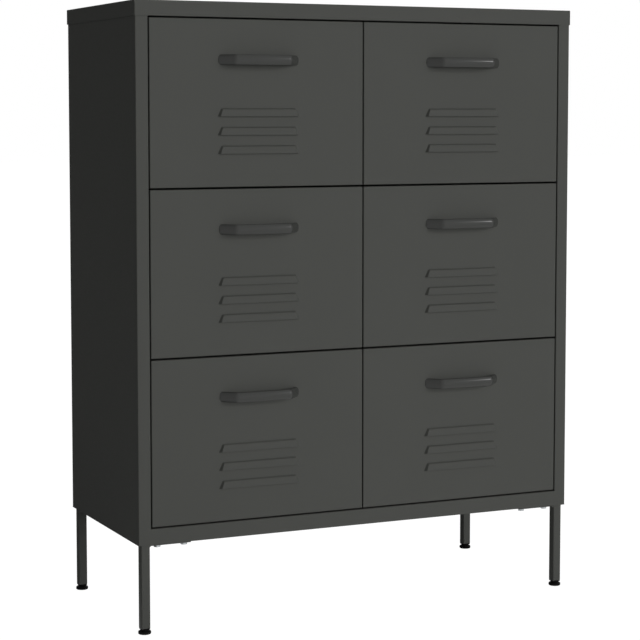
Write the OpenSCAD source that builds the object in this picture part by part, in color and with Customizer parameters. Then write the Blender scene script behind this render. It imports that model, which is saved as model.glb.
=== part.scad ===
// Sheet-steel drawer cabinet on four square legs: two columns of three drawers, each with a bow
// handle and pressed louvres, running on ball-bearing slides.
// Millimetres, +Z up, the front faces -Y. The origin is on the floor under the middle of the
// cabinet, handles included.

/* [Cabinet] */
// Overall width, across the top panel
cabinet_w = 800; // [720:1:900]
// Overall depth of the top panel
cabinet_d = 350; // [350:1:420]
// Overall height above the floor
cabinet_h = 1015; // [960:1:1080]
// How far the top panel stands proud of the body all round
top_overhang = 1.3; // [1.3:0.1:3]
// Height of the top panel's folded edge
top_edge_h = 25; // [20:1:35]
// Height of the bottom rail
bottom_rail_h = 26; // [20:1:40]
// Width of the front stiles
stile_w = 21.2; // [20:0.1:30]
// Height of the body's underside above the floor
body_z = 146; // [130:1:160]
// Thickness of the carcass and drawer front sheet
sheet = 0.8; // [0.7:0.1:1]

/* [Drawers] */
// Gap beside a drawer front
side_gap = 2; // [1.5:0.1:3]
// Gap between one drawer front and the next one down
row_gap = 3; // [2:0.1:4]
// Gap above the top drawer front and below the bottom one
end_gap = 2.5; // [2:0.1:4]
// Depth of the folded edge round a drawer front
front_edge_d = 14; // [10:1:15]
// Thickness of the drawer box sheet
box_sheet = 0.6; // [0.5:0.1:0.8]
// Height of a drawer box
box_h = 230; // [180:1:240]
// Depth of a drawer box, from the back of its front
box_d = 321; // [321:1:325]
// Height of a drawer box above the lower edge of its front
box_lift = 16; // [14:1:24]

/* [Louvres] */
// Number of louvres in a drawer front
louvres = 3; // [1:1:3]
// Distance from one louvre to the next
louvre_pitch = 30; // [22:1:34]
// Upper edge of the first louvre below the top of the drawer front
louvre_drop = 142; // [120:1:145]
// Width of a louvre at its upper edge
louvre_top_w = 129; // [90:1:200]
// Width of a louvre at its lip
louvre_lip_w = 143; // [104:1:220]
// Height of a louvre
louvre_h = 13.5; // [12:0.5:16]
// How far the lip stands out of the drawer front
louvre_proud = 4.5; // [3:0.1:6]

/* [Handles] */
// Distance between a handle's screws
handle_pitch = 128; // [96:1:160]
// How far a handle stands out of the drawer front
handle_reach = 24; // [22:0.5:32]
// Height of the handle's section
handle_h = 16.5; // [14:0.5:20]
// Thickness of the handle's section
handle_t = 8; // [7:0.5:10]
// Radius of the handle's bends, to the middle of the bar
handle_bend = 9; // [7:1:10]
// Middle of the handle below the top of the drawer front
handle_drop = 65; // [40:1:80]

/* [Runners] */
// Length of a runner's fixed member, without its stop
runner_l = 300; // [300:1:302]
// How far a drawer slides out
drawer_travel = 225; // [150:1:225]
// Diameter of the balls
ball_d = 4; // [4:0.1:4.1]
// Balls in each row of a cage
balls_in_row = 4; // [2:1:4]

/* [Legs and feet] */
// Side of the square leg tube
leg_w = 15; // [15:0.5:16]
// Wall of the leg tube
leg_wall = 1.2; // [1:0.1:1.3]
// Gap between a leg's outer side and the side of the body
leg_inset_x = 5.2; // [4:0.1:6]
// Gap between a leg's outer face and the front or back of the body
leg_inset_y = 3.2; // [3:0.1:6]
// Height of the leg tube's lower end above the floor
leg_z = 9.8; // [9.5:0.1:14]
// Diameter of a foot
foot_d = 21; // [18:0.5:26]

/* [Hidden] */
ROWS = ["bottom", "middle", "top"];
COLUMNS = ["left", "right"];
ENDS = ["front", "back"];
PLACES = [for (row = ROWS) for (column = COLUMNS) str(row, "_", column)];
CORNERS = [for (end = ENDS) for (column = COLUMNS) str(end, "_", column)];
DRAWER_NODES = ["drawer_front", "drawer_box", "handle", "drawer_fasteners", "drawer_runners",
    "ball_cages", "cabinet_runners"];
$fn = 48;

anthracite = [0.285, 0.29, 0.278];
gloss_anthracite = [0.24, 0.245, 0.24];
zinc = [0.72, 0.73, 0.74];
black_plastic = [0.05, 0.05, 0.05];
eps = 0.05;

// Carcass. Depths are measured from the front of the body towards the back.
body_w = cabinet_w - 2 * top_overhang;
body_d = cabinet_d - 2 * top_overhang;
front_y = (handle_reach + top_overhang - cabinet_d) / 2;
half_w = body_w / 2;
opening_x = half_w - stile_w;
top_z = cabinet_h - sheet;
wall_z = body_z + sheet;
back_y = body_d - sheet;
return_d = 50;
flange_w = 19;
top_return_d = 14;

// Drawer openings and fronts, drawn for the left column
opening_z0 = body_z + bottom_rail_h;
opening_z1 = cabinet_h - top_edge_h;
row_count = len(ROWS);
front_h = (opening_z1 - opening_z0 - 2 * end_gap - (row_count - 1) * row_gap) / row_count;
front_x0 = side_gap - opening_x;
front_x1 = -side_gap / 2;
front_w = front_x1 - front_x0;
front_x = (front_x0 + front_x1) / 2;
function front_z(row) = opening_z0 + end_gap + row * (front_h + row_gap);

// Runners: u runs from the fixed member's base towards the drawer, v is the height
runner_t = 10;
runner_sheet = 1;
runner_y = 18;
runner_z = 110;
runner_stop_t = 1;
runner_play = 0.3;
ball_u = 4.8;
ball_v = 10.4;
race_r = ball_d / 2 + 0.15;
lip_angle = 25;
fixed_top_v = ball_v + race_r + runner_sheet;
moving_top_v = ball_v - race_r;
cage_sheet = 0.5;
cage_u = 1.2;
cage_w = 6.2;
cage_t = 0.6;
ball_pitch = 11;
cage_margin = 6;
cage_l = 2 * cage_margin + (balls_in_row - 1) * ball_pitch;
cage_y = runner_l - drawer_travel - cage_l - 4 + drawer_travel / 2;
runner_screw_ys = [12, 285];
rivet_ys = [40, 260];

box_x0 = -opening_x + runner_t;
box_x1 = -sheet / 2 - runner_t;
box_hem = 10;

// Fasteners
screw_r = 1.9;
hole_r = 2;
screw_head_r = 3.5;
screw_head_h = 2.4;
flat_head_h = 1.2;
nut_r = 4;
nut_h = 3.2;
stud_r = 2.4;
stud_l = 10;
stud_xs = 10.5;
stud_ys = [90, 173, 256];
partition_stud_ys = [100, 250];
partition_flange_w = 15;
partition_y = 16;
partition_screw_x = 8;
base_screw_ys = [120, 227];
back_screw_zs = [200, 460, 720, 975];
partition_screw_zs = [250, 580, 910];
rail_screw_x = 190;
front_stud_x = 160;
front_stud_z = 40;
front_stud_l = 6;
wall_hole_r = 4;
wall_hole_x = 300;
wall_hole_z = 965;

// Legs
leg_x = half_w - leg_inset_x - leg_w / 2;
leg_y = leg_inset_y + leg_w / 2;
leg_round = 1.5;
plate_t = 2;
plate_arm = 78;
plate_end_w = 8;
bolt_near = 23;
bolt_far = 69;
bolt_side = 2;
bolt_places = [[bolt_near, bolt_side], [bolt_far, bolt_side], [bolt_side, bolt_near],
    [bolt_side, bolt_far]];
bolt_r = 2.9;
bolt_hole_r = 3.2;
bolt_head_r = 5.77;
bolt_head_h = 4;
plug_h = 30;
plug_flange_t = 1.8;
plug_play = 0.15;
thread_r = 3;
foot_stud_r = 2.95;
foot_stud_l = 26;
foot_disc_h = 4;
foot_hub_r = 7;
foot_hub_z = 5.6;
foot_top_z = leg_z - plug_flange_t - 0.4;

// Moves the carcass coordinates, with their zero at the body's front, to the cabinet's origin
module in_place() {
    translate([0, front_y, 0])
        children();
}

// Mirrors its children, drawn for the left, to the side of a column
module on_side(column) {
    mirror([column, 0, 0])
        children();
}

// A block given by its lowest and highest corners
module block(low, high) {
    translate(low)
        cube(high - low);
}

module along_y(length) {
    translate([0, length, 0])
        rotate([90, 0, 0])
            linear_extrude(length)
                children();
}

// A rod along +Y, and one along +X
module rod_y(r, length, sides = 48) {
    rotate([-90, 0, 0])
        cylinder(r = r, h = length, $fn = sides);
}

module rod_x(r, length, sides = 48) {
    rotate([0, 90, 0])
        cylinder(r = r, h = length, $fn = sides);
}

// ---- Carcass ----

// Places its children at every stud under the top panel, at the level of the panel's sheet
module at_studs() {
    for (side = [-1, 1], y = stud_ys)
        translate([side * (half_w - stud_xs), y, top_z])
            children();
    for (y = partition_stud_ys)
        translate([partition_screw_x, y, top_z])
            children();
}

module top_panel() {
    low = [-cabinet_w / 2, -top_overhang, opening_z1];
    high = [cabinet_w / 2, cabinet_d - top_overhang, cabinet_h];
    color(anthracite) in_place() {
        difference() {
            block(low, high);
            block(low + [sheet, sheet, -1], high - [sheet, sheet, sheet]);
        }
        block([1 - opening_x, sheet / 2 - top_overhang, opening_z1],
            [opening_x - 1, top_return_d, opening_z1 + sheet]);
        at_studs()
            translate([0, 0, -stud_l])
                cylinder(r = stud_r, h = stud_l + sheet / 2);
    }
}

// Places its children at the screws that go up through the bottom panel
module at_base_screws() {
    for (side = [-1, 1], y = base_screw_ys)
        translate([side * (half_w - stud_xs), y, body_z])
            children();
    for (y = partition_stud_ys)
        translate([partition_screw_x, y, body_z])
            children();
}

// Places its children at the screws that go forward through the back panel
module at_back_screws() {
    for (side = [-1, 1], z = back_screw_zs)
        translate([side * (half_w - stud_xs), body_d, z])
            children();
    for (z = partition_screw_zs)
        translate([partition_screw_x, body_d, z])
            children();
    for (side = [-1, 1])
        translate([side * rail_screw_x, body_d, body_z + bottom_rail_h / 2])
            children();
}

module back_screw_holes() {
    at_back_screws()
        translate([0, -5, 0])
            rod_y(hole_r, 10);
}

module base_screw_holes() {
    at_base_screws()
        translate([0, 0, -1])
            cylinder(r = hole_r, h = 5);
}

module stud_holes() {
    at_studs()
        translate([0, 0, -2])
            cylinder(r = stud_r + 0.2, h = 3);
}

// Places its children at a row's runner screws in a side panel, with +X into the drawer space
module at_side_runner_screws() {
    for (row = [0 : row_count - 1], y = runner_screw_ys)
        translate([-opening_x, runner_y + y, front_z(row) + runner_z])
            children();
}

// Drawn for the left: the skin, with the stile, its return, and the rear, top and bottom flanges
module side_panel(column) {
    inner = sheet - half_w;
    color(anthracite) in_place() on_side(column)
        difference() {
            union() {
                block([-half_w, 0, wall_z], [inner, back_y, top_z]);
                for (y = [0, back_y - sheet])
                    block([-half_w, y, wall_z], [-opening_x, y + sheet, top_z]);
                for (y = [0, back_y - return_d])
                    block([-opening_x - sheet, y, wall_z], [-opening_x, y + return_d, top_z]);
                block([-half_w, return_d + 2, top_z - sheet],
                    [flange_w - half_w, back_y - return_d - 2, top_z]);
                block([-half_w, base_screw_ys[0] - 25, wall_z],
                    [flange_w - half_w, base_screw_ys[1] + 25, wall_z + sheet]);
            }
            back_screw_holes();
            base_screw_holes();
            stud_holes();
            at_side_runner_screws()
                translate([-5, 0, 0])
                    rod_x(hole_r, 10);
        }
}

module back_panel() {
    color(anthracite) in_place()
        difference() {
            block([0.7 - half_w, back_y, wall_z], [half_w - 0.7, body_d, top_z - 0.3]);
            back_screw_holes();
            for (side = [-1, 1])
                translate([side * wall_hole_x, back_y - 1, wall_hole_z])
                    rod_y(wall_hole_r, sheet + 2);
        }
}

module bottom_panel() {
    rail_x = opening_x - 0.2;
    color(anthracite) in_place()
        difference() {
            union() {
                block([-half_w, 0, body_z], [half_w, body_d, wall_z]);
                block([-rail_x, 0, body_z], [rail_x, sheet, opening_z0]);
                block([-rail_x, 0, opening_z0 - sheet], [rail_x, top_return_d, opening_z0]);
                block([-rail_x, back_y - sheet, body_z], [rail_x, back_y, opening_z0]);
            }
            base_screw_holes();
            back_screw_holes();
            at_leg_bolts()
                translate([0, 0, plate_t - 1])
                    cylinder(r = bolt_hole_r, h = 3);
        }
}

module centre_partition() {
    flange_x = partition_flange_w + sheet / 2;
    color(anthracite) in_place()
        difference() {
            union() {
                block([-sheet / 2, partition_y, wall_z], [sheet / 2, back_y - sheet, top_z]);
                for (z = [wall_z, top_z - sheet])
                    block([-sheet / 2, partition_y, z], [flange_x, back_y - sheet, z + sheet]);
                block([-sheet / 2, back_y - sheet, opening_z0 + 1],
                    [flange_x, back_y, top_z - 1]);
            }
            base_screw_holes();
            back_screw_holes();
            stud_holes();
            translate([opening_x - 5, 0, 0])
                at_side_runner_screws()
                    rod_x(hole_r, 10);
        }
}

module carcass_fasteners() {
    color(zinc) in_place() {
        at_back_screws() {
            rod_y(screw_head_r, flat_head_h);
            translate([0, -6, 0])
                rod_y(screw_r, 6 + flat_head_h / 2);
        }
        at_base_screws() {
            translate([0, 0, -flat_head_h])
                cylinder(r = screw_head_r, h = flat_head_h);
            translate([0, 0, -flat_head_h / 2])
                cylinder(r = screw_r, h = 6);
        }
        at_studs()
            translate([0, 0, -sheet - nut_h])
                difference() {
                    cylinder(r = nut_r, h = nut_h, $fn = 6);
                    translate([0, 0, -1])
                        cylinder(r = stud_r + 0.1, h = nut_h + 2);
                }
    }
}

// ---- Legs and feet ----

// Places its children at the top of a leg, with +X and +Y towards the middle of the cabinet
module at_leg(end, column) {
    translate([0, end * body_d, body_z - plate_t])
        mirror([0, end, 0])
            on_side(column)
                translate([-leg_x, leg_y, 0])
                    children();
}

module at_leg_bolts() {
    for (end = [0, 1], column = [0, 1], place = bolt_places)
        at_leg(end, column)
            translate(place)
                children();
}

module rounded_square(side, r) {
    square([side, side - 2 * r], center = true);
    square([side - 2 * r, side], center = true);
    for (x = [-1, 1], y = [-1, 1])
        translate([x, y] * (side / 2 - r))
            circle(r);
}

// The leg tube and the corner plate welded to its top
module leg(end, column) {
    near = -leg_w / 2;
    color(anthracite) in_place() at_leg(end, column) {
        translate([0, 0, leg_z - body_z + plate_t])
            linear_extrude(body_z - plate_t - leg_z)
                difference() {
                    rounded_square(leg_w, leg_round);
                    rounded_square(leg_w - 2 * leg_wall, leg_round / 3);
                }
        linear_extrude(plate_t)
            difference() {
                polygon([[near, near], [plate_arm, near], [plate_arm, plate_end_w],
                    [plate_end_w, plate_arm], [near, plate_arm]]);
                for (place = bolt_places)
                    translate(place)
                        circle(bolt_hole_r);
            }
    }
}

module leg_bolts() {
    color(zinc) in_place() at_leg_bolts() {
        translate([0, 0, -bolt_head_h])
            cylinder(r = bolt_head_r, h = bolt_head_h, $fn = 6);
        translate([0, 0, -bolt_head_h / 2])
            cylinder(r = bolt_r, h = 12);
        translate([0, 0, plate_t + sheet])
            difference() {
                cylinder(r = bolt_head_r, h = bolt_head_h, $fn = 6);
                translate([0, 0, -1])
                    cylinder(r = bolt_r + 0.1, h = bolt_head_h + 2);
            }
    }
}

module leg_plugs() {
    plug_w = leg_w - 2 * leg_wall - 2 * plug_play;
    color(black_plastic) in_place()
        for (end = [0, 1], column = [0, 1])
            at_leg(end, column)
                translate([0, 0, leg_z - body_z + plate_t])
                    difference() {
                        union() {
                            linear_extrude(plug_h)
                                rounded_square(plug_w, leg_round / 3);
                            translate([0, 0, -plug_flange_t])
                                linear_extrude(plug_flange_t)
                                    rounded_square(leg_w - 0.4, leg_round);
                        }
                        translate([0, 0, -plug_flange_t - 1])
                            cylinder(r = thread_r, h = plug_h + plug_flange_t + 2);
                    }
}

module foot(end, column) {
    r = foot_d / 2;
    color(black_plastic) in_place() at_leg(end, column)
        translate([0, 0, plate_t - body_z]) {
            rotate_extrude()
                polygon([[0, 0], [r - 0.8, 0], [r, 0.8], [r, foot_disc_h - 0.5],
                    [r - 0.5, foot_disc_h], [foot_hub_r, foot_hub_z],
                    [foot_hub_r, foot_top_z], [0, foot_top_z]]);
            cylinder(r = foot_stud_r, h = foot_top_z + foot_stud_l);
        }
}

// ---- Runners ----

// Places its children at both runners of a drawer: +X towards the drawer, +Y to the back
module at_runners(row, column) {
    z = front_z(row) + runner_z;
    on_side(column) {
        translate([-opening_x, runner_y, z])
            children();
        translate([-sheet / 2, runner_y, z])
            mirror([1, 0, 0])
                children();
    }
}

// A curled lip: a part ring round the ball between two angles
module race(from, to) {
    r = race_r + runner_sheet;
    translate([ball_u, ball_v])
        intersection() {
            difference() {
                circle(r);
                circle(race_r);
            }
            polygon([[0, 0], [2 * r * cos(from), 2 * r * sin(from)],
                [3 * r * cos((from + to) / 2), 3 * r * sin((from + to) / 2)],
                [2 * r * cos(to), 2 * r * sin(to)]]);
        }
}

// Mirrors the upper half of a runner's section to its lower half
module upper_and_lower() {
    children();
    mirror([0, 1])
        children();
}

module fixed_section() {
    upper_and_lower() {
        square([runner_sheet, fixed_top_v]);
        translate([0, fixed_top_v - runner_sheet])
            square([ball_u, runner_sheet]);
        race(lip_angle, 90);
    }
}

module moving_section() {
    translate([runner_t - runner_sheet, -moving_top_v])
        square([runner_sheet, 2 * moving_top_v]);
    upper_and_lower() {
        translate([ball_u, moving_top_v - runner_sheet])
            square([runner_t - ball_u, runner_sheet]);
        race(180 + lip_angle, 270);
    }
}

module cabinet_runners(row, column) {
    stop_y = runner_l + runner_play + 0.5;
    color(zinc) in_place() at_runners(row, column)
        difference() {
            union() {
                along_y(stop_y + runner_stop_t)
                    fixed_section();
                block([0, stop_y, -moving_top_v], [runner_t - 1.5, stop_y + runner_stop_t, moving_top_v]);
            }
            for (y = runner_screw_ys)
                translate([-1, y, 0])
                    rod_x(hole_r, runner_sheet + 2);
        }
}

module drawer_runners(row, column) {
    color(zinc) in_place() at_runners(row, column)
        difference() {
            translate([0, runner_play, 0])
                along_y(runner_l)
                    moving_section();
            for (y = rivet_ys)
                translate([runner_t - runner_sheet - 1, y, 0])
                    rod_x(hole_r, runner_sheet + 2);
        }
}

// A folded strip that holds two rows of balls, and the balls
module ball_cages(row, column) {
    color(zinc) in_place() at_runners(row, column)
        translate([0, cage_y, 0]) {
            block([cage_u, 0, -ball_v], [cage_u + cage_sheet, cage_l, ball_v]);
            for (side = [-1, 1])
                difference() {
                    translate([cage_u, 0, side * ball_v - cage_t / 2])
                        cube([cage_w, cage_l, cage_t]);
                    for (i = [0 : balls_in_row - 1])
                        translate([ball_u, cage_margin + i * ball_pitch, side * ball_v - 1])
                            cylinder(r = ball_d / 2 + 0.1, h = 2);
                }
            for (side = [-1, 1], i = [0 : balls_in_row - 1])
                translate([ball_u, cage_margin + i * ball_pitch, side * ball_v])
                    sphere(r = ball_d / 2);
        }
}

// Screws into the side panels, and bolts with nuts through the partition
module runner_screws() {
    color(zinc) in_place() {
        for (column = [0, 1])
            on_side(column)
                at_side_runner_screws() {
                    translate([runner_sheet, 0, 0])
                        rod_x(screw_head_r, screw_head_h);
                    translate([-6, 0, 0])
                        rod_x(screw_r, 6 + runner_sheet + 1);
                }
        translate([opening_x, 0, 0])
            at_side_runner_screws() {
                base_x = sheet / 2 + runner_sheet;
                translate([-base_x - screw_head_h, 0, 0])
                    rod_x(screw_head_r, screw_head_h);
                translate([-base_x - 1, 0, 0])
                    rod_x(screw_r, 2 * base_x + 1 + nut_h);
                translate([base_x, 0, 0])
                    difference() {
                        rod_x(nut_r, nut_h, 6);
                        translate([-1, 0, 0])
                            rod_x(hole_r, nut_h + 2);
                    }
            }
    }
}

// ---- Drawers ----

// Places its children with X from the middle of the front, Y from its face and Z from its lower edge
module at_front(row, column) {
    on_side(column)
        translate([front_x, 0, front_z(row)])
            children();
}

// One louvre at full size, or its hollow when taken in by the sheet's thickness. X is centred,
// Z runs down from the upper edge, and -Y is out of the drawer front.
module louvre_shape(wall) {
    out = louvre_proud - wall;
    corner = 7;
    lower = wall > 0 ? louvre_h + eps : louvre_h;
    top_x = louvre_top_w / 2 - wall - corner;
    lip_x = louvre_lip_w / 2 - wall;
    back = wall > 0 ? 2 * sheet : sheet / 2;
    hull() {
        for (side = [-1, 1])
            translate([side * top_x, back, -corner - wall])
                rotate([90, 0, 0])
                    cylinder(r = corner, h = back, $fn = 32);
        for (side = [-1, 1])
            translate([side * top_x, 0, -corner - wall - 2])
                rotate([90, 0, 0])
                    cylinder(r = corner - 1.5, h = 0.62 * out, $fn = 32);
        block([-lip_x, 0, -lower], [lip_x, back, 1 - lower]);
        block([3 - lip_x, -out, -lower], [lip_x - 3, 0, 0.4 - lower]);
    }
}

module drawer_front(row, column) {
    low = [-front_w / 2, 0, 0];
    high = [front_w / 2, front_edge_d, front_h];
    color(anthracite) in_place() at_front(row, column) {
        difference() {
            union() {
                difference() {
                    block(low, high);
                    block(low + [sheet, sheet, sheet], high + [-sheet, 1, -sheet]);
                }
                for (i = [0 : louvres - 1])
                    translate([0, 0, front_h - louvre_drop - i * louvre_pitch])
                        louvre_shape(0);
            }
            for (i = [0 : louvres - 1])
                translate([0, 0, front_h - louvre_drop - i * louvre_pitch])
                    louvre_shape(sheet);
            at_handle_screws()
                translate([0, -1, 0])
                    rod_y(hole_r, sheet + 2);
        }
        for (side = [-1, 1])
            translate([side * front_stud_x, sheet / 2, front_stud_z])
                rod_y(screw_r, front_stud_l);
    }
}

// Places its children at a handle's screws, in the drawer front's coordinates
module at_handle_screws() {
    for (side = [-1, 1])
        translate([side * handle_pitch / 2, 0, front_h - handle_drop])
            children();
}

// The bar's section: flat-sided with round edges, and slightly crowned front and back
module handle_section() {
    end_v = (handle_h - handle_t) / 2;
    crown_r = 13;
    intersection() {
        union() {
            square([handle_t, 2 * end_v], center = true);
            for (v = [-end_v, end_v])
                translate([0, v])
                    circle(handle_t / 2);
        }
        translate([crown_r - handle_t / 2, 0])
            circle(crown_r);
        translate([handle_t / 2 - crown_r, 0])
            circle(crown_r);
    }
}

// A bow: its two legs lean inwards from short straight feet to the bar. Their section is a hair
// smaller, and they reach into the bends, so that all of it joins.
module handle(row, column) {
    foot_l = 0.5;
    reach_in = 1;
    bar_y = -(handle_reach - handle_t / 2);
    lean = -bar_y - foot_l - handle_bend;
    bar_half = handle_pitch / 2 - handle_bend - lean;
    turn = handle_bend * sin(45);
    color(gloss_anthracite) in_place() at_front(row, column)
        difference() {
            translate([0, 0, front_h - handle_drop]) {
                translate([-bar_half, bar_y, 0])
                    rotate([90, 0, 90])
                        linear_extrude(2 * bar_half)
                            handle_section();
                for (side = [0, 1])
                    mirror([side, 0, 0]) {
                        translate([bar_half, bar_y + handle_bend, 0])
                            rotate([0, 0, -90])
                                handle_corner();
                        translate([bar_half + turn, bar_y + handle_bend - turn, 0])
                            rotate([0, 0, -45])
                                translate([0, -reach_in, 0])
                                    along_y(lean * sqrt(2) + 2 * reach_in)
                                        scale(0.99)
                                            handle_section();
                        translate([handle_pitch / 2 - handle_bend, -foot_l, 0])
                            rotate([0, 0, -45])
                                handle_corner();
                        translate([handle_pitch / 2, -foot_l, 0])
                            along_y(foot_l)
                                handle_section();
                    }
            }
            at_handle_screws()
                translate([0, -5.5, 0])
                    rod_y(hole_r, 6.5);
        }
}

// One bend of the bar, by 45 degrees
module handle_corner() {
    rotate_extrude(angle = 45)
        translate([handle_bend, 0])
            handle_section();
}

// The folded box: floor, four walls and a hem round its upper edge. It is symmetric, so the right-hand
// one is moved over.
module drawer_box(row, column) {
    low = [box_x0, sheet, box_lift];
    high = [box_x1, sheet + box_d, box_lift + box_h];
    wall = [box_sheet, box_sheet, box_sheet];
    hem = [2 * box_sheet, 2 * box_sheet, box_h - box_hem];
    slot_w = louvre_top_w - 10;
    color(anthracite) in_place() {
        difference() {
            translate([-column * (box_x0 + box_x1), 0, front_z(row)])
                difference() {
                    block(low, high);
                    block(low + wall, high - [wall.x, wall.y, box_hem]);
                    block(low + hem, high - [hem.x, hem.y, -1]);
                }
            at_front(row, column) {
                for (i = [0 : louvres - 1])
                    translate([0, 0, front_h - louvre_drop - i * louvre_pitch - louvre_h])
                        block([-slot_w / 2, 0, 0], [slot_w / 2, 3, louvre_h - 3]);
                at_handle_screws()
                    rod_y(hole_r, 4);
                for (side = [-1, 1])
                    translate([side * front_stud_x, 0, front_stud_z])
                        rod_y(hole_r, 4);
            }
            at_runners(row, column)
                for (y = rivet_ys)
                    translate([runner_t - 1, y, 0])
                        rod_x(hole_r, box_sheet + 2);
        }
    }
}

// Handle screws, nuts on the front's studs, and the rivets of the drawer's runners
module drawer_fasteners(row, column) {
    inside_y = sheet + box_sheet;
    rivet_head_h = 1.2;
    color(zinc) in_place() {
        at_front(row, column) {
            at_handle_screws() {
                translate([0, inside_y, 0])
                    rod_y(screw_head_r, screw_head_h);
                translate([0, -5, 0])
                    rod_y(screw_r, 6 + inside_y);
            }
            for (side = [-1, 1])
                translate([side * front_stud_x, inside_y, front_stud_z])
                    difference() {
                        rod_y(nut_r, nut_h, 6);
                        translate([0, -1, 0])
                            rod_y(hole_r, nut_h + 2);
                    }
        }
        at_runners(row, column)
            for (y = rivet_ys)
                translate([runner_t - runner_sheet, y, 0]) {
                    translate([-rivet_head_h, 0, 0])
                        rod_x(screw_head_r, rivet_head_h);
                    rod_x(screw_r, runner_sheet + box_sheet);
                    translate([runner_sheet + box_sheet, 0, 0])
                        rod_x(screw_head_r, rivet_head_h);
                }
    }
}

top_panel();
side_panel(0);  // left_side_panel
side_panel(1);  // right_side_panel
back_panel();
bottom_panel();
centre_partition();
carcass_fasteners();
leg_plugs();
leg_bolts();
runner_screws();
for (end = [0, 1], column = [0, 1]) {
    corner = str(ENDS[end], "_", COLUMNS[column]);
    leg(end, column);
    foot(end, column);
}
for (row = [0 : row_count - 1], column = [0, 1]) {
    place = str(ROWS[row], "_", COLUMNS[column]);
    drawer_front(row, column);
    drawer_box(row, column);
    handle(row, column);
    drawer_fasteners(row, column);
    drawer_runners(row, column);
    ball_cages(row, column);
    cabinet_runners(row, column);
}
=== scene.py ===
"""Dresses a sheet-steel drawer cabinet: models its pieces, gives each its finish, and lights the whole."""

import logging
import math
from collections.abc import Callable, Iterable, Sequence
from dataclasses import dataclass, field
from enum import Enum

import bmesh
import bpy
import numpy as np
from bpy.types import Material, NodeOutputs, NodeSocket, NodeTree, Object
from mathutils import Matrix, Vector


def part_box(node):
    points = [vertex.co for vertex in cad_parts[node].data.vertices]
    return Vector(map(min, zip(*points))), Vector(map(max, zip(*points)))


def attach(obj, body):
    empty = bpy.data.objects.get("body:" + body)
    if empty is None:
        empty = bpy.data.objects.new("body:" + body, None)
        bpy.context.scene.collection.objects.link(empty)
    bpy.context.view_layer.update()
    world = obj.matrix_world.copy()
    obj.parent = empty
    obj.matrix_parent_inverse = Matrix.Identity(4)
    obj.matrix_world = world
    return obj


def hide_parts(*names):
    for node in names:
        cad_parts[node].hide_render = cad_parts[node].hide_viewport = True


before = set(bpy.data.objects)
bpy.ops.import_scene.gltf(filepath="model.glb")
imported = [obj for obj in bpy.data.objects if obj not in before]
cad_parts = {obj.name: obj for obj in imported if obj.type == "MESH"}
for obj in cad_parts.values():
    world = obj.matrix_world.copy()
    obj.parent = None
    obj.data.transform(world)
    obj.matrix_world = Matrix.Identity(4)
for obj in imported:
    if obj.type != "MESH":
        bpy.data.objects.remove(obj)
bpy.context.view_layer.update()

MM = 0.001
# How close vertices are merged, in metres.
DOUBLES = 0.001 * MM
# How far apart in mm is still the same, and which cosines count as along an axis and as level.
NEAR, ALIGNED, LEVEL = 0.02, 0.9, 0.99
X, Y, Z = Vector((1, 0, 0)), Vector((0, 1, 0)), Vector((0, 0, 1))
ORIGIN = Vector((0, 0, 0))
ROWS = ("bottom", "middle", "top")
# Each column and each corner, with -1 for the axes that mirror the left or front left one.
COLUMNS = {"left": (1, 1), "right": (-1, 1)}
CORNERS = {"front_left": (1, 1), "front_right": (-1, 1), "back_left": (1, -1), "back_right": (-1, -1)}

log = logging.getLogger("cabinet")


class Kind(Enum):
    """What is picked in edit mode."""

    VERTS = "VERT"
    EDGES = "EDGE"
    FACES = "FACE"


class Slot(Enum):
    """The material slots."""

    BODY = "anthracite_powder_coat"
    HANDLE = "satin_anthracite_lacquer"
    BOX = "drawer_box_powder_coat"
    RUNNER = "zinc_runners"
    FASTENER = "zinc_fasteners"
    PLASTIC = "black_plastic"


Test = Callable[[Vector, Vector], bool]
Paints = dict[Slot, Material]


def near(size: float, *others: float) -> bool:
    """Whether a size in mm is the same as one of the others."""
    return any(abs(size - other) < NEAR for other in others)


def at_height(z: float) -> Test:
    """Picks what has its middle at a height in mm."""
    return lambda m, _: near(m.z, z)


def level_at(z: float) -> Test:
    """Picks the level faces that look up from a height."""
    return lambda m, n: n.z > LEVEL and near(m.z, z)


def facing(way: Vector) -> Test:
    """Picks the faces that face a way."""
    return lambda _, n: n.dot(way) > ALIGNED


def along(axis: Vector) -> Test:
    """Picks the edges that run along an axis, or the faces whose normal does."""
    return lambda _, d: abs(d.dot(axis)) > ALIGNED


def leave_edit() -> None:
    """Goes back to object mode with nothing selected."""
    if bpy.context.mode != "OBJECT":
        bpy.ops.object.mode_set(mode="OBJECT")
    bpy.ops.object.select_all(action="DESELECT")


def node_box(node: str) -> tuple[Vector, Vector]:
    """The lowest and highest corners of a CAD node, in mm."""
    low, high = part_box(node)
    return low / MM, high / MM


# ---- Modelling by hand ----


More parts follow.
